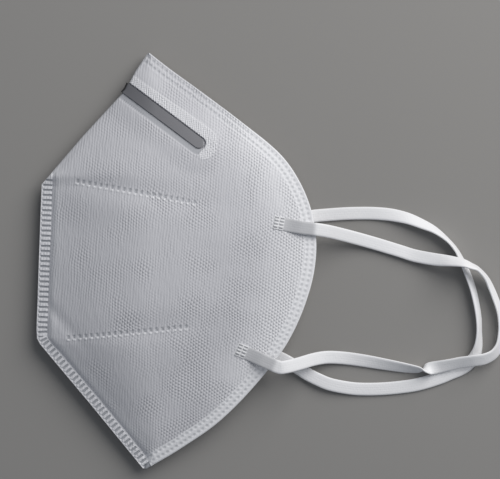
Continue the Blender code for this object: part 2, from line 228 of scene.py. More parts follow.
# Floor and light
FLOOR_SIZE = 6.0
KEY_PLACE = Vector((0.50, 0.556, 0.585))
KEY_SIZE = 0.9
KEY_POWER = 7.6             # W
KEY_COLOUR = (1.0, 0.985, 0.97)
FILL_COLOUR = (0.84, 0.90, 1.0, 1.0)
FILL_STRENGTH = 0.225

SeamPoint = namedtuple("SeamPoint", "up out")
SEAM_LINE = [
    SeamPoint(0.500, -0.104),
    SeamPoint(0.458, -0.146),
    SeamPoint(0.412, -0.182),
    SeamPoint(0.300, -0.335),
    SeamPoint(0.184, -0.482),
    SeamPoint(-0.165, -0.500),
    SeamPoint(-0.186, -0.4985),
    SeamPoint(-0.200, -0.488),
    SeamPoint(-0.345, -0.3075),
    SeamPoint(-0.500, -0.1195),
]
FacePoint = namedtuple("FacePoint", "up out")
FACE_LINE = [
    FacePoint(0.500, -0.095),
    FacePoint(0.462, -0.023),
    FacePoint(0.409, 0.085),
    FacePoint(0.336, 0.229),
    FacePoint(0.259, 0.3675),
    FacePoint(0.191, 0.440),
    FacePoint(0.113, 0.4855),
    FacePoint(0.024, 0.500),
    FacePoint(-0.075, 0.4745),
    FacePoint(-0.190, 0.4025),
    FacePoint(-0.285, 0.2985),
    FacePoint(-0.385, 0.155),
    FacePoint(-0.455, 0.0075),
    FacePoint(-0.500, -0.106),
]
LiftRow = namedtuple("LiftRow", "up seam crown near_rim far_rim belly")
LIFTS = [
    LiftRow(0.500, 0.24, 0.345, 0.345, 0.140, 0.140),
    LiftRow(0.412, 0.29, 0.50, 0.44, 0.145, 0.110),
    LiftRow(0.270, 0.33, 0.76, 0.55, 0.150, 0.090),
    LiftRow(0.190, 0.34, 0.88, 0.62, 0.155, 0.0),
    LiftRow(0.050, 0.36, 1.00, 0.65, 0.155, 0.0),
    LiftRow(-0.150, 0.36, 0.97, 0.64, 0.155, 0.0),
    LiftRow(-0.280, 0.35, 0.82, 0.58, 0.155, 0.0),
    LiftRow(-0.400, 0.33, 0.60, 0.48, 0.160, 0.030),
    LiftRow(-0.500, 0.30, 0.385, 0.37, 0.210, 0.210),
]
Dent = namedtuple("Dent", "out up long wide turn deep")
DENTS = [
    Dent(-0.425, -0.195, 0.110, 0.020, -48.0, 0.035),
    Dent(-0.330, 0.120, 0.200, 0.080, -8.0, 0.025),
    Dent(0.050, -0.420, 0.180, 0.090, 35.0, 0.030),
]
# Soft valleys that only the looks show
VALLEYS = [
    Dent(0.048, -0.388, 0.280, 0.050, 50.0, 0.045),
    Dent(-0.150, 0.250, 0.240, 0.042, -10.0, 0.050),
    Dent(-0.170, -0.250, 0.240, 0.042, 5.5, 0.042),
]
RoutePoint = namedtuple("RoutePoint", "x y lift roll")
NEAR_ROUTE = [
    RoutePoint(0.0370, 0.0149, 0.01265, 0),
    RoutePoint(0.0400, 0.0143, 0.0124, 0),
    RoutePoint(0.0476, 0.0128, 0.0118, 0),
    RoutePoint(0.0522, 0.0122, 0.0114, 0),
    RoutePoint(0.0542, 0.0120, 0.0112, 0),
    RoutePoint(0.0585, 0.0113, 0.0089, 0),
    RoutePoint(0.0630, 0.0103, 0.0057, 0),
    RoutePoint(0.0690, 0.0088, 0.0026, 0),
    RoutePoint(0.0770, 0.0066, 0.0006, 4),
    RoutePoint(0.0866, 0.0037, 0.0002, 10),
    RoutePoint(0.0924, 0.0019, 0.0007, 8),
    RoutePoint(0.0999, 0.0005, 0.0024, 12),
    RoutePoint(0.1062, -0.0002, 0.0043, 38),
    RoutePoint(0.1105, -0.0009, 0.0055, 54),
    RoutePoint(0.1131, -0.0018, 0.0051, 62),
    RoutePoint(0.1160, -0.0031, 0.0038, 72),
    RoutePoint(0.1194, -0.0065, 0.0016, 67),
    RoutePoint(0.1214, -0.0100, 0.0006, 61),
    RoutePoint(0.1233, -0.0144, 0.0001, 58),
    RoutePoint(0.1249, -0.0191, 0.0, 58),
    RoutePoint(0.1256, -0.0235, 0.0, 58),
    RoutePoint(0.1256, -0.0280, 0.0002, 57),
    RoutePoint(0.1248, -0.0327, 0.0010, 50),
    RoutePoint(0.1226, -0.0360, 0.0022, 38),
    RoutePoint(0.1190, -0.0378, 0.0034, 28),
    RoutePoint(0.1154, -0.0384, 0.0037, 24),
    RoutePoint(0.1124, -0.0389, 0.0031, 24),
    RoutePoint(0.1093, -0.0394, 0.0023, 24),
    RoutePoint(0.1062, -0.0401, 0.0017, 22),
    RoutePoint(0.1035, -0.0407, 0.0014, 16),
    RoutePoint(0.1008, -0.0413, 0.0013, 4),
    RoutePoint(0.0985, -0.0417, 0.0009, -12),
    RoutePoint(0.0968, -0.0420, 0.0003, -46),
    RoutePoint(0.0954, -0.0423, 0.0, -90),
    RoutePoint(0.0939, -0.0422, 0.0, -117),
    RoutePoint(0.0900, -0.0417, 0.0, -134),
    RoutePoint(0.0862, -0.0411, 0.0, -144),
    RoutePoint(0.0803, -0.0401, 0.0, -156),
    RoutePoint(0.0725, -0.0388, 0.0, -170),
    RoutePoint(0.0650, -0.0378, 0.0003, -180),
    RoutePoint(0.0585, -0.0374, 0.0016, -180),
    RoutePoint(0.0530, -0.0380, 0.0045, -180),
    RoutePoint(0.0468, -0.0395, 0.0085, -180),
    RoutePoint(0.0415, -0.0405, 0.0117, -180),
    RoutePoint(0.0386, -0.0402, 0.0121, -180),
    RoutePoint(0.0300, -0.0364, 0.0119, -180),
    RoutePoint(0.0229, -0.0334, 0.0125, -180),
]
FAR_ROUTE = [
    RoutePoint(0.0352, 0.0148, 0.0008, 0),
    RoutePoint(0.0418, 0.0155, 0.0008, 0),
    RoutePoint(0.0526, 0.0172, 0.0004, 0),
    RoutePoint(0.0591, 0.0178, 0.0, 0),
    RoutePoint(0.0668, 0.0183, 0.0, 0),
    RoutePoint(0.0745, 0.0184, 0.0, 0),
    RoutePoint(0.0803, 0.0181, 0.0, 5),
    RoutePoint(0.0847, 0.0175, 0.0, 12),
    RoutePoint(0.0897, 0.0163, 0.0, 26),
    RoutePoint(0.0950, 0.0142, 0.0, 41),
    RoutePoint(0.0998, 0.0119, 0.0, 57),
    RoutePoint(0.1043, 0.0085, 0.0, 71),
    RoutePoint(0.1077, 0.0048, 0.0, 72),
    RoutePoint(0.1100, 0.0008, 0.0, 66),
    RoutePoint(0.1125, -0.0048, 0.0, 58),
    RoutePoint(0.1146, -0.0107, 0.0, 58),
    RoutePoint(0.1160, -0.0165, 0.0, 60),
    RoutePoint(0.1169, -0.0222, 0.0, 61),
    RoutePoint(0.1171, -0.0276, 0.0, 62),
    RoutePoint(0.1168, -0.0328, 0.0, 46),
    RoutePoint(0.1155, -0.0370, 0.0, 22),
    RoutePoint(0.1130, -0.0402, 0.0, 7),
    RoutePoint(0.1099, -0.0422, 0.0, 0),
    RoutePoint(0.1061, -0.0438, 0.0, 0),
    RoutePoint(0.1015, -0.0457, 0.0, 0),
    RoutePoint(0.0938, -0.0480, 0.0, 0),
    RoutePoint(0.0861, -0.0492, 0.0, 0),
    RoutePoint(0.0784, -0.0498, 0.0, 0),
    RoutePoint(0.0707, -0.0498, 0.0002, 0),
    RoutePoint(0.0649, -0.0491, 0.0007, 0),
    RoutePoint(0.0591, -0.0478, 0.0013, 0),
    RoutePoint(0.0545, -0.0459, 0.0015, 0),
    RoutePoint(0.0506, -0.0439, 0.0013, 0),
    RoutePoint(0.0468, -0.0415, 0.0010, 0),
    RoutePoint(0.0406, -0.0380, 0.0008, 0),
    RoutePoint(0.0352, -0.0360, 0.0008, 0),
    RoutePoint(0.0290, -0.0347, 0.0007, 0),
    RoutePoint(0.0229, -0.0334, 0.0004, 0),
]


# Camera

def make_camera():
    """Straight above the middle of the photograph's frame, nose end up."""
    data = bpy.data.cameras.new("camera")
    data.sensor_width = SENSOR
    data.lens = SENSOR * VIEW_HEIGHT / VIEW_WIDTH
    camera = bpy.data.objects.new("camera", data)
    bpy.context.scene.collection.objects.link(camera)
    camera.location = VIEW_CENTRE + Vector((0, 0, VIEW_HEIGHT))
    bpy.context.scene.camera = camera


# Material helpers

def hex_colour(text):
    """sRGB hex to the linear colour that a shader takes."""
    values = [int(text[place:place + 2], 16) / 255 for place in (0, 2, 4)]
    linear = [value / 12.92 if value <= 0.04045 else ((value + 0.055) / 1.055) ** 2.4 for value in values]
    return (*linear, 1.0)


def add_node(tree, kind, settings=None, **inputs):
    """Add a node, set its properties, and fill or link its inputs."""
    node = tree.nodes.new(kind)
    for name, value in (settings or {}).items():
        setattr(node, name, value)
    for name, value in inputs.items():
        by_place = name[0] == "i" and name[1:].isdigit()
        socket = node.inputs[int(name[1:]) if by_place else name.replace("_", " ")]
        if isinstance(value, bpy.types.NodeSocket):
            tree.links.new(value, socket)
        else:
            socket.default_value = value
    return node


def add_object(name, mesh, material):
    """A finished mesh as an object at the origin, smooth and with its material."""
    data = bpy.data.meshes.new(name)
    mesh.to_mesh(data)
    mesh.free()
    data.shade_smooth()
    data.materials.append(material)
    piece = bpy.data.objects.new(name, data)
    bpy.context.scene.collection.objects.link(piece)
    return piece


def new_material(name):
    """A material with only its output and shader."""
    material = bpy.data.materials.new(name)
    material.use_nodes = True
    return material, material.node_tree, material.node_tree.nodes["Principled BSDF"]


# Shares and lengths

def smooth_step(share):
    """0 to 1 with level ends."""
    share = min(1.0, max(0.0, share))
    return share * share * (3.0 - 2.0 * share)


def band(value, low, high, soft):
    """1 between low and high, falling to 0 over a soft border."""
    return smooth_step((value - low) / soft + 0.5) * smooth_step((high - value) / soft + 0.5)


def travel(points):
    """Length travelled to each point of a line."""
    travelled = [0.0]
    for one, two in zip(points, points[1:]):
        travelled.append(travelled[-1] + (two - one).length)
    return travelled


# Ear loops

def loop_points(route):
    """Even steps along a smooth curve through a loop's route, each with its roll, and the loop's length."""
    marks = []
    for point in route:
        roll = math.radians(point.roll)
        lying = LOOP_LIFT + LOOP_WIDTH / 2 * abs(math.sin(roll)) + LOOP_THICK / 2 * abs(math.cos(roll))
        marks.append(Vector((point.x, point.y, point.lift + lying, roll)))
    marks = [marks[0] * 2 - marks[1]] + marks + [marks[-1] * 2 - marks[-2]]
    fine = []
    for before, start, end, after in zip(marks, marks[1:], marks[2:], marks[3:]):
        for step in range(CURVE_STEPS):
            t = step / CURVE_STEPS
            fine.append((start * 2 + (end - before) * t + (before * 2 - start * 5 + end * 4 - after) * t ** 2
                         + (start * 3 - before - end * 3 + after) * t ** 3) / 2)
    fine.append(marks[-2])
    travelled = travel([point.to_3d() for point in fine])
    count = math.ceil(travelled[-1] / LOOP_STEP)
    points, place = [], 0
    for step in range(count + 1):
        goal = travelled[-1] * step / count
        while place < len(fine) - 2 and travelled[place + 1] < goal:
            place += 1
        share = (goal - travelled[place]) / (travelled[place + 1] - travelled[place])
        points.append(fine[place].lerp(fine[place + 1], share))
    return points, travelled[-1]


def pressed_share(travelled, aside):
    """Thickness share and painted shade of a strap, at a distance from its end and from its middle line."""
    column = sum(band(travelled, start, end, BAR_SOFT) for start, end in BAR_COLUMNS)
    bar = column * smooth_step(0.4 + 1.2 * math.cos(2 * math.pi * aside / BAR_PITCH))
    flat = smooth_step((GREY_LENGTH - travelled) / (GREY_LENGTH - PRESSED))
    pressed = smooth_step((PRESSED - travelled) / 0.0003)
    # Painted shade along the stretch next to the end, almost none on the pressed end itself
    painted_shade = PAINTED_SHADE_SHARE * smooth_step((GREY_LENGTH - travelled) / GREY_FADE) * (1.0 - 0.9 * pressed)
    tip = TIP_THIN + (1.0 - TIP_THIN) * smooth_step(travelled / TIP_LENGTH)
    thick = (1.0 - THINNED * flat + BAR_HIGH * bar * pressed) * tip
    # Painted shade in the gaps between the printed bars as well
    return thick, max(painted_shade, BAR_GAP_SHADE * pressed * column * (1.0 - bar))


def make_loop(name, route, material, panel_side):
    """One flat elastic loop along its route, its ends pressed onto a panel below (-1) or above it (1)."""
    points, length = loop_points(route)
    ends = math.ceil(PRESSED / LOOP_STEP) + 2
    kept = [place for place in range(len(points))
            if place < ends or place >= len(points) - ends or place % LOOP_SKIP == 0]
    half, thick = LOOP_WIDTH / 2, LOOP_THICK / 2
    section = []
    for step in range(SIDE_POINTS):
        share = 2 * step / (SIDE_POINTS - 1) - 1
        aside = math.sin(math.pi / 2 * share) * 0.4 + share * 0.6
        section.append((aside, math.sqrt(max(0.0, 1 - abs(aside) ** 6))))
    ring = [(a, h) for a, h in section] + [(a, -h) for a, h in reversed(section[1:-1])]
    mesh = bmesh.new()
    uv = mesh.loops.layers.uv.new("along")
    # Painted shade, which the elastic's material reads
    painted_shade = mesh.verts.layers.float.new("painted_shade")
    rows = []
    for place in kept:
        mark = points[place]
        before = points[max(0, place - 3)].to_3d()
        after = points[min(len(points) - 1, place + 3)].to_3d()
        ahead = (after - before).normalized()
        right = ahead.cross(Vector((0, 0, 1))).normalized()
        up = right.cross(ahead)
        wide = right * math.cos(mark.w) + up * math.sin(mark.w)
        flat = up * math.cos(mark.w) - right * math.sin(mark.w)
        travelled = length * min(place, len(points) - 1 - place) / (len(points) - 1)
        seated = smooth_step((SEAT_LENGTH - travelled) / (SEAT_LENGTH - PRESSED))
        row = []
        for a, h in ring:
            share, tone = pressed_share(travelled, a * half)
            spot = mark.to_3d() + wide * (a * half) + flat * (h * thick * share)
            if seated:
                surface = body_height(spot.x, spot.y, NEAR_OUT if panel_side < 0 else FAR_OUT)[0]
                raised = thick * share * (h * math.copysign(1.0, flat.z) - panel_side) + SUNK * panel_side
                spot.z += (surface + raised - spot.z) * seated
            vert = mesh.verts.new(spot)
            vert[painted_shade] = tone
            row.append(vert)
        rows.append(row)
    count = len(ring)
    for place, (one, two) in enumerate(zip(rows, rows[1:])):
        along = [length * kept[place + step] / (len(points) - 1) for step in (0, 1)]
        for side in range(count):
            after = (side + 1) % count
            face = mesh.faces.new((one[side], one[after], two[after], two[side]))
            for corner, (s, t) in zip(face.loops, ((side, 0), (after, 0), (after, 1), (side, 1))):
                corner[uv].uv = (along[t], ring[s][0] * half)
    for row in (rows[0], rows[-1]):
        mesh.faces.new(row)
    bmesh.ops.recalc_face_normals(mesh, faces=mesh.faces)
    loop = add_object(name, mesh, material)
    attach(loop, "root")
    return loop


def elastic_material():
    """Knitted nylon elastic: soft white, finely speckled, with a faint sheen, and painted shade near its ends
    and between its printed bars.
    """
    material, tree, shader = new_material("knitted_nylon_elastic")
    shader.inputs["Roughness"].default_value = 0.62
    shader.inputs["Sheen Weight"].default_value = 0.15
    shader.inputs["Sheen Roughness"].default_value = 0.4
    along = add_node(tree, "ShaderNodeUVMap", {"uv_map": "along"})
    # Courses: fine cross stitches, broken up along the strap
    stretched = add_node(tree, "ShaderNodeMapping", Vector=along.outputs[0], Scale=STITCH_GRAIN)
    speckle = add_node(tree, "ShaderNodeTexNoise", Vector=stretched.outputs[0], Scale=1.0, Detail=2.0)
    parts = add_node(tree, "ShaderNodeSeparateXYZ", i0=along.outputs[0])
    across = add_node(tree, "ShaderNodeMath", {"operation": "MULTIPLY"},
                      i0=parts.outputs["Y"], i1=2 * math.pi / STITCH_WIDE)
    wale = add_node(tree, "ShaderNodeMath", {"operation": "COSINE"}, i0=across.outputs[0])
    stitch = add_node(tree, "ShaderNodeMath", {"operation": "MULTIPLY_ADD"},
                      i0=wale.outputs[0], i1=0.08, i2=speckle.outputs["Fac"])
    bump = add_node(tree, "ShaderNodeBump", Height=stitch.outputs[0], Strength=0.9, Distance=0.0001)
    tree.links.new(bump.outputs[0], shader.inputs["Normal"])
    # Painted shade near the ends and between the bars, from the loop's attribute
    painted_shade = add_node(tree, "ShaderNodeAttribute", {"attribute_name": "painted_shade"})
    tone = add_node(tree, "ShaderNodeMix", {"data_type": "RGBA"}, Factor=painted_shade.outputs["Fac"])
    tone.inputs[6].default_value = hex_colour("FBFBFC")
    tone.inputs[7].default_value = hex_colour("A2A3A7")
    tree.links.new(tone.outputs[2], shader.inputs["Base Color"])
    return material


# Body

def straight(table, column, up):
    """A column of a table at a height, on straight lines between its rows."""
    for above, below in zip(table, table[1:]):
        if up >= below.up:
            share = (above.up - up) / (above.up - below.up)
            return getattr(above, column) * (1.0 - share) + getattr(below, column) * share
    return getattr(table[-1], column)


def curved(table, column, up):
    """A column of a table at a height, on a smooth curve through its rows."""
    last = len(table) - 1
    row = max(0, min(last - 1, sum(1 for line in table[1:] if line.up > up)))

    def slope(place):
        first, second = table[max(0, place - 1)], table[min(last, place + 1)]
        return (getattr(second, column) - getattr(first, column)) / (second.up - first.up)

    above, below = table[row], table[row + 1]
    span = below.up - above.up
    share = (up - above.up) / span
    square, cube = share * share, share ** 3
    return ((2 * cube - 3 * square + 1) * getattr(above, column)
            + (cube - 2 * square + share) * span * slope(row)
            + (3 * square - 2 * cube) * getattr(below, column)
            + (cube - square) * span * slope(row + 1))


def line_slope(reading, table, up):
    """How far a line of the outline runs sideways for each metre upwards."""
    high, low = min(0.5, up + SLOPE_REACH), max(-0.5, up - SLOPE_REACH)
    return (reading(table, "out", high) - reading(table, "out", low)) * DEPTH / ((high - low) * HEIGHT)


def dent_depth(x, y, dents=DENTS):
    """How far soft dents lower the near panel."""
    total = 0.0
    for dent in dents:
        turn = math.radians(dent.turn)
        aside, along = x - dent.out * DEPTH, y - dent.up * DEPTH
        length = (aside * math.cos(turn) + along * math.sin(turn)) / (dent.long * DEPTH)
        width = (along * math.cos(turn) - aside * math.sin(turn)) / (dent.wide * DEPTH)
        total += dent.deep * PILLOW * math.exp(-(length * length + width * width))
    return total


class Cut:
    """The sizes of one level cut through the folded body, at a share of its height."""

    def __init__(self, up):
        self.y = up * HEIGHT
        self.tip = straight(SEAM_LINE, "out", up) * DEPTH
        self.edge = curved(FACE_LINE, "out", up) * DEPTH
        length = self.edge - self.tip
        weld = smooth_step((WELD_START - up) / (WELD_START - WELD_FULL))
        welded = WELD_WIDTH * math.hypot(1.0, line_slope(straight, SEAM_LINE, up))
        self.lean = math.hypot(1.0, line_slope(curved, FACE_LINE, up))
        rim = RIM_WIDTH * self.lean
        self.root = self.tip + min(FOLD_DEPTH + (welded - FOLD_DEPTH) * weld, WELD_MOST * length)
        self.band = self.edge - min(rim, RIM_MOST * length)
        self.hollow = min(self.root + HOLLOW_SET, self.root + ROOT_MOST * (self.band - self.root))
        fold_half = WALL + FOLD_SLACK / 2
        self.root_half = fold_half + (WELD_THICK / 2 - fold_half) * weld
        self.tip_half = WELD_THICK / 2
        self.seam = straight(LIFTS, "seam", up) * PILLOW
        self.crown = curved(LIFTS, "crown", up) * PILLOW
        self.near_rim = curved(LIFTS, "near_rim", up) * PILLOW
        self.far_rim = curved(LIFTS, "far_rim", up) * PILLOW
        self.belly = straight(LIFTS, "belly", up) * PILLOW
        self.fall = min(FALL_REACH / (self.edge - self.root), FALL_MOST)

    def share(self, x):
        """How far across the panel a place is, from the fold or weld to the face edge."""
        return min(1.0, max(0.0, (x - self.root) / (self.edge - self.root)))

    def seam_half(self, x):
        """Half the thickness of the fold or weld, rounded off towards its tip."""
        across = max(0.0, (x - self.tip) / (self.root - self.tip))
        return self.tip_half + (self.root_half - self.tip_half) * math.sin(math.pi / 2 * across)

    def near(self, x):
        """Height of the near panel's outer face."""
        if x < self.root:
            return self.seam + self.seam_half(x)
        share = self.share(x)
        start = self.seam + self.root_half
        if share < NEAR_CREST:
            rise = share / NEAR_CREST
            puff = PUFF * (1.0 - math.exp(-(x - self.root) / PUFF_REACH)) * (1.0 - rise)
            height = start + (self.crown - start) * (puff + math.sin(math.pi / 2 * rise) ** CREST_POWER)
        else:
            fall = (share - NEAR_CREST) / (1.0 - NEAR_CREST)
            height = self.near_rim + (self.crown - self.near_rim) * math.cos(math.pi / 2 * fall)
        return height - dent_depth(x, self.y)

    def far(self, x):
        """Height of the far panel's outer face, its underside."""
        if x < self.root:
            return self.seam - self.seam_half(x)
        share = self.share(x)
        start = self.seam - self.root_half
        fall = (start - self.belly) * (1.0 - smooth_step(share / self.fall))
        rise = (self.far_rim - self.belly) * smooth_step((share - FAR_RISE) / (FAR_LEVEL - FAR_RISE))
        return self.belly + fall + rise

    def wall(self, x):
        """Thickness of one wall, thinner along the rim and where the panels close together."""
        banded = smooth_step((x - self.band) / (self.edge - self.band) / RIM_BLEND)
        full = WALL + (RIM_THICK - WALL) * banded
        return min(full, (self.near(x) - self.far(x) - HOLLOW_GAP) / 2)


@lru_cache(maxsize=None)
def cut_at(steps):
    """The level cut at a height counted in hundredths of a millimetre."""
    return Cut(min(0.5, max(-0.5, steps * 1e-5 / HEIGHT)))


def panel_cut(y):
    """The level cut through a place, kept so that it is worked out once."""
    return cut_at(round(y * 1e5))


def cut_heights():
    """Shares of the height to cut at: each corner of the folded side, and even steps between them."""
    heights = [SEAM_LINE[0].up]
    for above, below in zip(SEAM_LINE, SEAM_LINE[1:]):
        steps = max(1, math.ceil((above.up - below.up) * HEIGHT / ROW_STEP))
        heights += [above.up + (below.up - above.up) * step / steps for step in range(1, steps + 1)]
    return heights


# The weld's outer edge, run straight on past its upper corner, and the face rim's edge
SEAM_CORNERS = [Vector((row.out * DEPTH, row.up * HEIGHT)) for row in SEAM_LINE[4:]]
SEAM_CORNERS.insert(0, SEAM_CORNERS[0] + Vector((0.0002, 0.0027)))
SEAM_TRAVEL = travel(SEAM_CORNERS)
FACE_UPS = [0.5 - step / FACE_STEPS for step in range(FACE_STEPS + 1)]
FACE_POINTS = [Vector((curved(FACE_LINE, "out", up) * DEPTH, up * HEIGHT)) for up in FACE_UPS]
FACE_TRAVEL = travel(FACE_POINTS)


def nearest_on(points, travelled, place, first=0, last=None):
    """Distance from a place to a line through points, and how far along it is."""
    best, where = 1e9, 0.0
    for step in range(first, (last or len(points)) - 1):
        start, run = points[step], points[step + 1] - points[step]
        share = min(1.0, max(0.0, (place - start).dot(run) / run.length_squared))
        gap = (place - start - run * share).length
        if gap < best:
            best, where = gap, travelled[step] + run.length * share
    return best, where


def weld_ribs(place):
    """Slots, ribs and inner groove of the front and chin weld, and its distance from the edge."""
    gap, along = nearest_on(SEAM_CORNERS, SEAM_TRAVEL, place)
    if gap > WELD_REACH:
        return 0.0, 0.0, 0.0, gap
    slot = smooth_step(0.12 - 1.6 * math.cos(2 * math.pi * along / RIB_PITCH))
    wide = WELD_WIDTH - WELD_NARROWS * smooth_step((along - SEAM_TRAVEL[2]) / WELD_TURN)
    inside = band(gap, WELD_EDGE, wide, 0.0003)
    groove = math.exp(-((gap - wide - GROOVE_IN) / GROOVE_WIDE) ** 2)
    return slot * inside, (1.0 - slot) * inside, groove, gap


def rim_pits(place):
    """Two rows of small pits along the face rim, with a plain edge outside them."""
    cut = panel_cut(place.y)
    if (cut.edge - place.x) / cut.lean > RIM_REACH + RIM_MARGIN:
        return 0.0, 1.0
    middle = round((0.5 - place.y / HEIGHT) * FACE_STEPS)
    first, last = max(0, middle - FACE_WINDOW), min(FACE_STEPS, middle + FACE_WINDOW) + 1
    gap, along = nearest_on(FACE_POINTS, FACE_TRAVEL, place, first, last)
    if gap > RIM_REACH:
        return 0.0, gap
    pits = 0.0
    for centre in PIT_ROWS:
        step = (along / PIT_PITCH) % 1.0 - 0.5
        away = math.hypot(step * PIT_PITCH / PIT_LONG, (gap - centre) / PIT_WIDE)
        pits = max(pits, smooth_step(1.5 - away))
    return pits, gap


DASH_ROWS = [
    (Vector((-0.0388, 0.0305)), Vector((0.0080, 0.0220))),
    (Vector((-0.0424, -0.0297)), Vector((0.0053, -0.0251))),
]


def row_place(place, row):
    """Length of a row of dashes, how far along it a place is, and how far above it."""
    start, end = row
    run = end - start
    along = (place - start).dot(run) / run.length
    return run.length, along, (place - start - run * (along / run.length)).y


def dashes(place):
    """The two rows of short dashes that stiffen a panel: pit and raised tooth below it."""
    pit, tooth = 0.0, 0.0
    for row in DASH_ROWS:
        length, along, gap = row_place(place, row)
        if abs(gap) > 0.003 or not -0.001 < along < length + 0.001:
            continue
        ends = band(along, 0.0, length, 0.0012)
        step = (along / DASH_PITCH) % 1.0 - 0.5
        aside = (step * DASH_PITCH / DASH_LONG) ** 4
        pit = max(pit, ends * smooth_step(1.4 - aside - ((gap - DASH_UP) / DASH_WIDE) ** 4))
        tooth = max(tooth, ends * smooth_step(1.4 - aside * 0.7 - ((gap + TOOTH_DOWN) / TOOTH_WIDE) ** 4))
    return pit, tooth


ALONG = Vector((math.cos(CLIP_DOWN), -math.sin(CLIP_DOWN)))
ACROSS = Vector((math.sin(CLIP_DOWN), math.cos(CLIP_DOWN)))
CLIP_FOLD = Vector((straight(SEAM_LINE, "out", CLIP_UP) * DEPTH, CLIP_UP * HEIGHT))


def clip_place(place):
    """How far along and across the nose clip a place is, and its distance from the clip's edge."""
    along = (place - CLIP_FOLD).dot(ALONG)
    across = (place - CLIP_FOLD).dot(ACROSS)
    return along, across, math.hypot(max(0.0, along - CLIP_LENGTH + CLIP_WIDTH / 2), across) - CLIP_WIDTH / 2


def clip_frame(place):
    """Height of the cloth round the nose clip, with its fused grey and the clip's painted shadow, and how
    white it is, partly painted highlight.
    """
    along, across, gap = clip_place(place)
    half = CLIP_WIDTH / 2
    if not -CLIP_REACH < across < CLIP_REACH + 0.003 or along > CLIP_LENGTH + CLIP_REACH:
        return 0.0, 0.0, 0.0
    beyond = smooth_step((along - CLIP_LENGTH) / 0.0006)
    upper = max(smooth_step((across + half * 0.75) / (half * 0.5)), beyond)
    under = smooth_step(-gap / 0.0002 + 0.5)
    lip = LIP_HIGH * smooth_step((gap - LIP_GAP) / 0.00015 + 0.5)
    lip *= smooth_step((LIP_WIDE + LIP_FADE - gap) / LIP_FADE)
    shelf = BAND_HIGH + BAND_STEP * smooth_step((gap - BAND_WIDE) / 0.0005 + 0.5)
    shelf *= smooth_step((BAND_WIDE + BAND_FADE - gap) / BAND_FADE)
    high = UNDER_HIGH * under + (lip * upper + shelf * (1.0 - upper)) * (1.0 - under)
    high -= MOAT_DEPTH * upper * band(gap, 0.0, LIP_GAP, 0.0002)
    strip = upper * band(gap, LIP_GAP, LIP_WIDE + 0.0012 * smooth_step(along / CLIP_LENGTH), 0.0005)
    strip *= smooth_step((across + half + BAND_WIDE) / 0.0008 + 0.5)
    lattice = math.cos(2 * math.pi * along / LATTICE_ALONG) * math.cos(2 * math.pi * across / LATTICE_ACROSS)
    high += strip * LATTICE_HIGH * smooth_step(0.5 + lattice)
    step = (along / TICK_PITCH) % 1.0 - 0.5
    tick = smooth_step(1.5 - abs(step) * TICK_PITCH / TICK_HALF)
    tick *= band(gap, BAND_WIDE - 0.0006, BAND_WIDE + 0.0003, 0.0003)
    tick *= (1.0 - upper) * band(along, 0.0015, 0.0120, 0.001)
    high -= TICK_DEPTH * tick
    # The band below the clip, painted grey as the clip's shadow
    plain = (1.0 - upper) * band(gap, -0.001, BAND_WIDE, 0.0004)
    plain *= smooth_step((CLIP_LENGTH + 0.001 - along) / 0.001)
    # Whiter strip of weld dots, with a painted highlight on its raised lattice points
    white_and_highlight = strip * (0.25 + 0.45 * smooth_step(0.5 + lattice))
    return high, max(TICK_FUSED_SHADE * tick, BAND_CLIP_SHADOW * plain), white_and_highlight


def relief(place):
    """How deep a place on either panel is pressed in, in metres, how grey it is from fusing and painted shade,
    and how white it is, partly painted highlight.
    """
    slots, ribs, groove, edge = weld_ribs(place)
    pits, gap = rim_pits(place)
    pit, tooth = dashes(place)
    high, ticks, strip = clip_frame(place)
    deep = SLOT_DEPTH * slots - RIB_HIGH * ribs + GROOVE_DEPTH * groove + PIT_DEPTH * pits
    deep += DASH_DEPTH * pit - TOOTH_HIGH * tooth
    deep -= BEAD_HIGH * band(gap, 0.0002, 0.0007, 0.0003) + high
    # Fused grey with painted shade in slots, pits, dashes and ticks, and the clip's painted shadow on the band
    # below it
    fused_and_shade = max(SLOT_FUSED_SHADE * slots, PIT_FUSED_SHADE * pits, DASH_FUSED_SHADE * pit, ticks)
    # The rim: whiter as doubled cloth, and with a painted sheen; less white towards the nose end
    rim = smooth_step((RIM_WIDTH + 0.0006 - gap) / 0.0005 + 0.5)
    rim *= 1.0 - NOSE_RIM_LESS_WHITE * smooth_step(place.y / 0.03) * smooth_step((0.035 - place.x) / 0.03)
    welded = WELD_WHITE * smooth_step((WELD_WIDTH - edge) / 0.0003 + 0.5)
    # Painted highlight on the soft puff just inside the front weld
    welded += FRONT_HIGHLIGHT * band(edge, WELD_WIDTH, FRONT_REACH, 0.003)
    # Painted highlight on the raised dash teeth
    return deep, fused_and_shade, max(rim, welded, strip, TOOTH_HIGHLIGHT * tooth)


def fine_zone(place, sharp):
    """Whether a place lies where the mesh has to hold pressed detail, or its sharpest parts."""
    if nearest_on(SEAM_CORNERS, SEAM_TRAVEL, place)[0] < (SHARP_WELD if sharp else FINE_WELD):
        return True
    along, across, gap = clip_place(place)
    if sharp:
        return SHARP_CLIP[0] < gap < SHARP_CLIP[1] and across > -CLIP_WIDTH / 2 + SHARP_CLIP[0]
    if FINE_CLIP[0] < gap < FINE_CLIP[1]:
        return True
    cut = panel_cut(place.y)
    if (cut.edge - place.x) / cut.lean < FINE_RIM:
        return True
    for row in DASH_ROWS:
        length, along, gap = row_place(place, row)
        if -0.002 < along < length + 0.002 and abs(gap) < FINE_DASH:
            return True
    return False


NEAR_OUT, NEAR_IN, FAR_IN, FAR_OUT = 0.0, 1.0, 2.0, 3.0


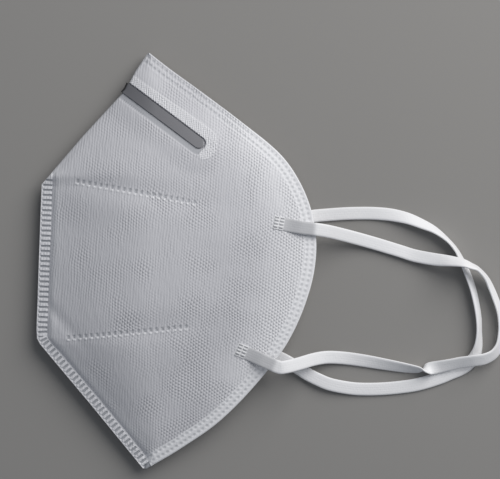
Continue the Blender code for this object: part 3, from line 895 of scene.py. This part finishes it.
def body_ring(up):
    """One level cut's points with the face that each lies on."""
    cut = Cut(up)
    outer = [cut.tip + (cut.root - cut.tip) * share for share in (0.0, 0.3, 0.65, 1.0)]
    near = outer + [cut.root + (cut.edge - cut.root) * step / NEAR_STEPS for step in range(1, NEAR_STEPS + 1)]
    far = outer + [cut.root + (cut.edge - cut.root) * step / FAR_STEPS for step in range(1, FAR_STEPS + 1)]
    inner = [cut.hollow + (cut.edge - cut.hollow) * step / FAR_STEPS for step in range(FAR_STEPS + 1)]
    return ([(x, cut.y, FAR_OUT) for x in far] + [(x, cut.y, FAR_IN) for x in reversed(inner)]
            + [(x, cut.y, NEAR_IN) for x in inner] + [(x, cut.y, NEAR_OUT) for x in reversed(near)])


def body_height(x, y, side):
    """Height of a point of the body, how grey it is from fusing and painted shade, and how white it is, partly
    painted highlight.
    """
    cut = panel_cut(y)
    calm = smooth_step((x - cut.root) / CALM_FOLD) * smooth_step((cut.edge - x) / CALM_RIM)
    if side == NEAR_OUT or side == FAR_OUT:
        deep, fused_and_shade, white_and_highlight = relief(Vector((x, y)))
        deep *= smooth_step((x - cut.tip) / 0.0003) * smooth_step((cut.edge - x) / 0.0002)
        if side == FAR_OUT:
            return max(FLOOR_GAP, cut.far(x) + deep), fused_and_shade, white_and_highlight
        waves = WAVE_HIGH * noise.noise(Vector((x, y, 0.0)) * WAVE_SCALE)
        waves += RIPPLE_HIGH * noise.noise(Vector((x, y, 0.5)) * RIPPLE_SCALE)
        # Painted highlight: the near panel is whiter towards its lit face edge
        lit_side = smooth_step(1.0 - (cut.edge - x) / cut.lean / LIT_SIDE_REACH) * smooth_step((x - 0.005) / 0.03)
        white_and_highlight = max(white_and_highlight, LIT_SIDE_HIGHLIGHT * lit_side)
        return cut.near(x) - deep - calm * (dent_depth(x, y, VALLEYS) + waves), fused_and_shade, white_and_highlight
    if side == NEAR_IN:
        return cut.near(x) - cut.wall(x) - calm * dent_depth(x, y, VALLEYS), 0.0, 0.0
    return cut.far(x) + cut.wall(x), 0.0, 0.0


def make_body(material):
    """The folded sheet as one closed shell: a coarse loft, made finer where it holds pressed detail."""
    mesh = bmesh.new()
    side = mesh.verts.layers.float.new("side")
    rows = []
    for up in cut_heights():
        row = []
        for x, y, face in body_ring(up):
            vert = mesh.verts.new((x, y, 0.0))
            vert[side] = face
            row.append(vert)
        rows.append(row)
    for upper, lower in zip(rows, rows[1:]):
        for place in range(len(upper)):
            after = (place + 1) % len(upper)
            mesh.faces.new((upper[place], upper[after], lower[after], lower[place]))
    mesh.faces.new(reversed(rows[0]))
    mesh.faces.new(rows[-1])
    for level, goal in enumerate(FINE_EDGES):
        edges = set()
        for face in mesh.faces:
            if len(face.verts) > 4:
                continue
            sides = {vert[side] for vert in face.verts}
            if sides not in ({NEAR_OUT}, {FAR_OUT}):
                continue
            if level and sides == {FAR_OUT}:
                continue
            middle = face.calc_center_median().to_2d()
            if fine_zone(middle, goal == FINE_EDGES[-1]):
                edges.update(edge for edge in face.edges if edge.calc_length() > goal)
        bmesh.ops.subdivide_edges(mesh, edges=list(edges), cuts=1, use_grid_fill=True)
    # Fused grey with painted shade, and whiteness with painted highlight, read by the fabric's material
    fused_and_shade = mesh.verts.layers.float.new("fused_and_shade")
    white_and_highlight = mesh.verts.layers.float.new("white_and_highlight")
    for vert in mesh.verts:
        vert.co.z, vert[fused_and_shade], vert[white_and_highlight] = body_height(vert.co.x, vert.co.y, vert[side])
    bmesh.ops.recalc_face_normals(mesh, faces=mesh.faces)
    body = add_object("laminate_body", mesh, material)
    body.data.set_sharp_from_angle(angle=math.radians(65))
    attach(body, "root")
    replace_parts(body, "mask_body")
    return body


def fabric_material():
    """Spunbond polypropylene: matte white, with columns of small raised bond points and fine fibres."""
    material, tree, shader = new_material("spunbond_polypropylene")
    shader.inputs["Roughness"].default_value = 0.68
    shader.inputs["Sheen Weight"].default_value = 0.12
    shader.inputs["Sheen Roughness"].default_value = 0.5
    place = add_node(tree, "ShaderNodeTexCoord")
    turned = add_node(tree, "ShaderNodeMapping", Vector=place.outputs["Object"], Rotation=(0, 0, FABRIC_TURN))
    parts = add_node(tree, "ShaderNodeSeparateXYZ", i0=turned.outputs[0])
    # Columns that waver, with bond points down each
    waver = add_node(tree, "ShaderNodeTexNoise", Vector=place.outputs["Object"], Scale=140.0, Detail=3.0)
    bent = add_node(tree, "ShaderNodeMath", {"operation": "MULTIPLY"}, i0=waver.outputs["Fac"], i1=9.0)
    columns = add_node(tree, "ShaderNodeMath", {"operation": "MULTIPLY_ADD"},
                       i0=parts.outputs["X"], i1=2 * math.pi / COLUMN_PITCH, i2=bent.outputs[0])
    shifted = add_node(tree, "ShaderNodeMath", {"operation": "MULTIPLY_ADD"},
                       i0=columns.outputs[0], i1=-0.5, i2=bent.outputs[0])
    rows = add_node(tree, "ShaderNodeMath", {"operation": "MULTIPLY_ADD"},
                    i0=parts.outputs["Y"], i1=2 * math.pi / POINT_PITCH, i2=shifted.outputs[0])
    both = add_node(tree, "ShaderNodeMath", {"operation": "ADD"}, i0=columns.outputs[0], i1=rows.outputs[0])
    waves = [add_node(tree, "ShaderNodeMath", {"operation": "COSINE"}, i0=node.outputs[0])
             for node in (columns, rows, both)]
    pair = add_node(tree, "ShaderNodeMath", {"operation": "ADD"},
                    i0=waves[1].outputs[0], i1=waves[2].outputs[0])
    # Points show most to the right, plain columns to the left, and both come and go in patches
    patch = add_node(tree, "ShaderNodeTexNoise", Vector=place.outputs["Object"], Scale=75.0, Detail=1.0)
    drift = add_node(tree, "ShaderNodeMapRange",
                     Value=parts.outputs["X"], i1=-0.045, i2=0.045, i3=-0.17, i4=0.17)
    level = add_node(tree, "ShaderNodeMath", {"operation": "ADD"},
                     i0=patch.outputs["Fac"], i1=drift.outputs[0])
    share = add_node(tree, "ShaderNodeMapRange", Value=level.outputs[0], i1=0.35, i2=0.65, i3=0.12, i4=0.62)
    points = add_node(tree, "ShaderNodeMath", {"operation": "MULTIPLY_ADD"},
                      i0=pair.outputs[0], i1=share.outputs[0], i2=waves[0].outputs[0])
    strong = add_node(tree, "ShaderNodeMapRange", Value=level.outputs[0], i1=0.3, i2=0.7, i3=0.1, i4=0.36)
    # Fibres: noise drawn out up the sheet
    drawn = add_node(tree, "ShaderNodeMapping", Vector=turned.outputs[0], Scale=FIBRE_GRAIN)
    fibres = add_node(tree, "ShaderNodeTexNoise", Vector=drawn.outputs[0], Scale=1.0, Detail=3.0)
    height = add_node(tree, "ShaderNodeMath", {"operation": "MULTIPLY_ADD"},
                      i0=points.outputs[0], i1=strong.outputs[0], i2=fibres.outputs["Fac"])
    # Doubled cloth is whiter than the open web, and whiter still where a highlight is painted; fused spots are
    # clearer and greyer, and greyer still where shade is painted; both are smoother
    white_and_highlight = add_node(tree, "ShaderNodeAttribute", {"attribute_name": "white_and_highlight"})
    fused_and_shade = add_node(tree, "ShaderNodeAttribute", {"attribute_name": "fused_and_shade"})
    doubled = add_node(tree, "ShaderNodeMapRange", Value=white_and_highlight.outputs["Fac"], i1=0.8, i2=1.0, i3=1.0, i4=0.2)
    open_web = add_node(tree, "ShaderNodeMapRange",
                        Value=fused_and_shade.outputs["Fac"], i1=0.0, i2=0.5, i3=1.0, i4=0.15)
    strength = add_node(tree, "ShaderNodeMath", {"operation": "MULTIPLY"},
                        i0=doubled.outputs[0], i1=open_web.outputs[0])
    bump = add_node(tree, "ShaderNodeBump",
                    Height=height.outputs[0], Strength=strength.outputs[0], Distance=0.0002)
    tree.links.new(bump.outputs[0], shader.inputs["Normal"])
    cloth = add_node(tree, "ShaderNodeMix", {"data_type": "RGBA"}, Factor=white_and_highlight.outputs["Fac"])
    cloth.inputs[6].default_value = hex_colour("D6D6DA")
    cloth.inputs[7].default_value = hex_colour("FBFBFD")
    tone = add_node(tree, "ShaderNodeMix", {"data_type": "RGBA"}, Factor=fused_and_shade.outputs["Fac"])
    tree.links.new(cloth.outputs[2], tone.inputs[6])
    tone.inputs[7].default_value = hex_colour("A5A8AD")
    tree.links.new(tone.outputs[2], shader.inputs["Base Color"])
    return material


# Nose clip

def clip_line(aside):
    """Mid points of the clip along one line of its width, over the fold, with how much painted shade each
    takes at the bend.
    """
    fold = CLIP_FOLD + ACROSS * aside
    fold += ALONG * (straight(SEAM_LINE, "out", fold.y / HEIGHT) * DEPTH - fold.x) / ALONG.x
    half = CLIP_WIDTH / 2
    reach = CLIP_LENGTH - half + math.sqrt(max(0.0, half * half - aside * aside)) * 0.98
    offset = CLIP_GAP + CLIP_THICK / 2
    lengths = [reach * (1 - (step / CLIP_STEPS) ** CLIP_CROWD) for step in range(CLIP_STEPS - 1)]
    places = [fold + ALONG * length for length in lengths]
    near = [(place, panel_cut(place.y).near(place.x) + offset) for place in places]
    far = [(place, panel_cut(place.y).far(place.x) - offset) for place in places]
    cut = panel_cut(fold.y)
    bend_half = cut.root_half + offset
    bend = []
    for step in range(1, BEND_STEPS):
        angle = math.pi * step / BEND_STEPS
        place = fold + ALONG * (FOLD_DEPTH - (FOLD_DEPTH + offset) * math.sin(angle))
        share = smooth_step((math.sin(angle) - BEND_PAINTED_SHADE) / 0.2)
        bend.append((place, cut.seam + bend_half * math.cos(angle), share))
    marks = [(*mark, 0.0) for mark in near] + bend + [(*mark, 0.0) for mark in reversed(far)]
    return [(Vector((place.x, place.y, z)), share) for place, z, share in marks]


def make_clip(material):
    """The metal strip over the fold, thickened, with its cut edges rounded off."""
    lines = [clip_line(share * CLIP_WIDTH / 2) for share in CLIP_SHARES]
    mesh = bmesh.new()
    # Painted shade and dark reflection on the bend, read by the metal's material
    bent = mesh.verts.layers.float.new("bent")
    grid = []
    for line in lines:
        grid.append([mesh.verts.new(point) for point, _ in line])
        for vert, (_, share) in zip(grid[-1], line):
            vert[bent] = share
    for left, right in zip(grid, grid[1:]):
        for place in range(len(left) - 1):
            mesh.faces.new((left[place], right[place], right[place + 1], left[place + 1]))
    clip = add_object("clip_strip", mesh, material)
    bpy.ops.object.select_all(action="DESELECT")
    clip.select_set(True)
    bpy.context.view_layer.objects.active = clip
    solid = clip.modifiers.new("thickness", "SOLIDIFY")
    solid.thickness = CLIP_THICK
    solid.offset = 0.0
    solid.use_even_offset = True
    bpy.ops.object.modifier_apply(modifier=solid.name)
    edge = clip.modifiers.new("edges", "BEVEL")
    edge.width = CLIP_ROUND
    edge.segments = 2
    edge.limit_method = "ANGLE"
    edge.angle_limit = math.radians(50)
    bpy.ops.object.modifier_apply(modifier=edge.name)
    clip.data.shade_smooth()
    clip.data.set_sharp_from_angle(angle=math.radians(50))
    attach(clip, "root")
    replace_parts(clip, "nose_clip")
    return clip


def metal_material():
    """Rolled aluminium strip: dull grey with a faint grain along it, with painted shade and dark reflection
    where it bends.
    """
    material, tree, shader = new_material("rolled_aluminium")
    # Painted shade and dark reflection where the strip bends round the fold
    bent = add_node(tree, "ShaderNodeAttribute", {"attribute_name": "bent"})
    tone = add_node(tree, "ShaderNodeMix", {"data_type": "RGBA"}, Factor=bent.outputs["Fac"])
    tone.inputs[6].default_value = hex_colour("818185")
    tone.inputs[7].default_value = hex_colour("26262A")
    tree.links.new(tone.outputs[2], shader.inputs["Base Color"])
    shader.inputs["Metallic"].default_value = 0.4
    shader.inputs["Roughness"].default_value = 0.5
    place = add_node(tree, "ShaderNodeTexCoord")
    turned = add_node(tree, "ShaderNodeMapping",
                      Vector=place.outputs["Object"], Rotation=(0, 0, CLIP_DOWN), Scale=ROLLED_GRAIN)
    grain = add_node(tree, "ShaderNodeTexNoise", Vector=turned.outputs[0], Scale=1.0, Detail=3.0)
    bump = add_node(tree, "ShaderNodeBump", Height=grain.outputs["Fac"], Strength=0.2, Distance=0.00003)
    tree.links.new(bump.outputs[0], shader.inputs["Normal"])
    return material


# Floor and light

def make_stage():
    """A plain pale floor, a large soft light from the upper right and a weak cool fill."""
    bpy.ops.mesh.primitive_plane_add(size=FLOOR_SIZE, location=(0, 0, 0))
    floor = bpy.context.object
    floor.name = "floor"
    # Matte painted board: even, dull and faintly grained
    material, tree, shader = new_material("matte_painted_board")
    shader.inputs["Base Color"].default_value = hex_colour("9B9996")
    shader.inputs["Roughness"].default_value = 0.9
    place = add_node(tree, "ShaderNodeTexCoord")
    grain = add_node(tree, "ShaderNodeTexNoise", Vector=place.outputs["Object"], Scale=FLOOR_GRAIN, Detail=2.0)
    bump = add_node(tree, "ShaderNodeBump", Height=grain.outputs["Fac"], Strength=0.1, Distance=0.0001)
    tree.links.new(bump.outputs[0], shader.inputs["Normal"])
    floor.data.materials.append(material)
    world = bpy.data.worlds.new("studio")
    bpy.context.scene.world = world
    world.use_nodes = True
    world.node_tree.nodes["Background"].inputs["Color"].default_value = FILL_COLOUR
    world.node_tree.nodes["Background"].inputs["Strength"].default_value = FILL_STRENGTH
    lamp = bpy.data.lights.new("key", "AREA")
    lamp.shape = "DISK"
    lamp.size = KEY_SIZE
    lamp.energy = KEY_POWER
    lamp.color = KEY_COLOUR
    key = bpy.data.objects.new("key", lamp)
    key.location = KEY_PLACE
    key.rotation_euler = (-KEY_PLACE).to_track_quat("-Z", "Y").to_euler()
    bpy.context.scene.collection.objects.link(key)


make_camera()
elastic = elastic_material()
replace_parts(make_loop("elastic_near", NEAR_ROUTE, elastic, -1), "ear_loop_near")
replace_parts(make_loop("elastic_far", FAR_ROUTE, elastic, 1), "ear_loop_far")
make_stage()
make_body(fabric_material())
make_clip(metal_material())
bpy.context.scene.view_settings.view_transform = "Standard"
